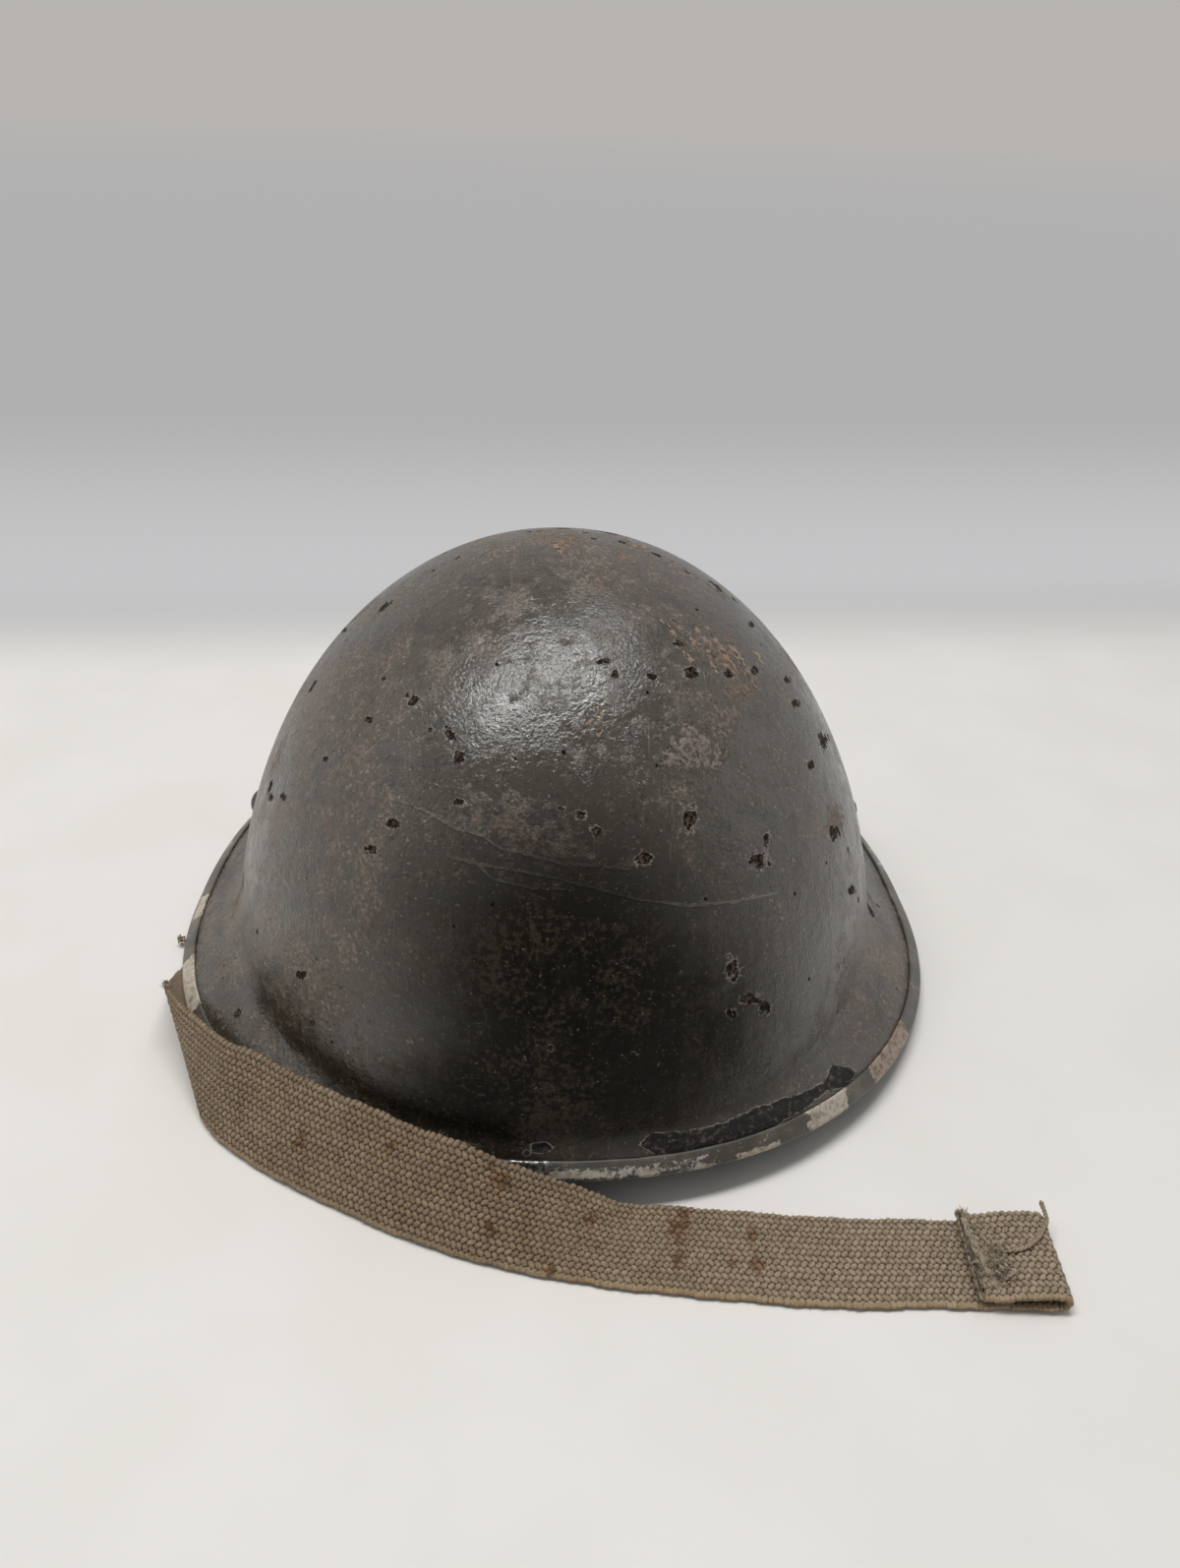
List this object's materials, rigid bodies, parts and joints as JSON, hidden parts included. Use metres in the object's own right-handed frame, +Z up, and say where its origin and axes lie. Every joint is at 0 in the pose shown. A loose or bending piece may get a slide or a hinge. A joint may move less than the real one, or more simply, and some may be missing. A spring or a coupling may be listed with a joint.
{
  "type": "turtle helmet",
  "caption": "Steel combat helmet with a domed crown and flared brim, a snap-in liner, and a webbing chinstrap drawn out in front.",
  "frame": {"origin": "on the floor under the middle of the brim, where the head opening's plane is", "axes": "+Z up through the crown, -Y the helmet's front, which faces the camera, +X to the right in the picture"},
  "size_m": [0.2472, 0.3119, 0.1388],
  "materials": {
    "shell_paint": "worn satin olive-grey paint, pitted, with rust freckles",
    "binding_paint": "worn grey-green paint chipped to cream primer and bare steel",
    "steel": "dull steel with brown rust",
    "webbing": "coarse tan cotton webbing, faded and rust-stained",
    "fibre": "dark brown vulcanised fibre, satin",
    "leathercloth": "brown-black grained leathercloth",
    "rubber": "dull aged rubber",
    "brass": "tarnished brass"
  },
  "bodies": {
    "bowl": {"shell": "shell_paint", "rim_binding": "binding_paint", "lug_rivet_left": "shell_paint", "lug_rivet_right": "shell_paint", "lug_left": "steel", "lug_right": "steel", "chinstrap_hang": "webbing", "chinstrap_run": "webbing", "chinstrap_end": "webbing", "crown_stud": "steel"},
    "loop_left": {"wire_loop_left": "steel", "chinstrap_fold": "webbing"},
    "loop_right": {"wire_loop_right": "steel"},
    "liner": {"liner_band": "fibre", "sweatband": "leathercloth", "crown_band_long": "fibre", "crown_band_cross": "fibre", "crown_pad": "rubber", "crown_socket": "brass", "band_rivets": "brass", "buffer_front_left": "rubber", "buffer_front_right": "rubber", "buffer_side_left": "rubber", "buffer_side_right": "rubber", "buffer_rear_left": "rubber", "buffer_rear_right": "rubber"}
  },
  "joints": [
    {"name": "loop_left_swing", "type": "hinge", "parent": "bowl", "child": "loop_left", "pos_m": [-0.09734, -0.00191, 0.02763], "axis": [0, 1, 0], "range_deg": [-45, 15], "deforming": ["chinstrap_hang"]},
    {"name": "loop_right_swing", "type": "hinge", "parent": "bowl", "child": "loop_right", "pos_m": [0.09734, -0.00191, 0.02763], "axis": [0, 1, 0], "range_deg": [-17, 50]},
    {"name": "liner_pull", "type": "slide", "parent": "bowl", "child": "liner", "axis": [0, 0, -1], "range_m": [0, 0.006]}
  ]
}
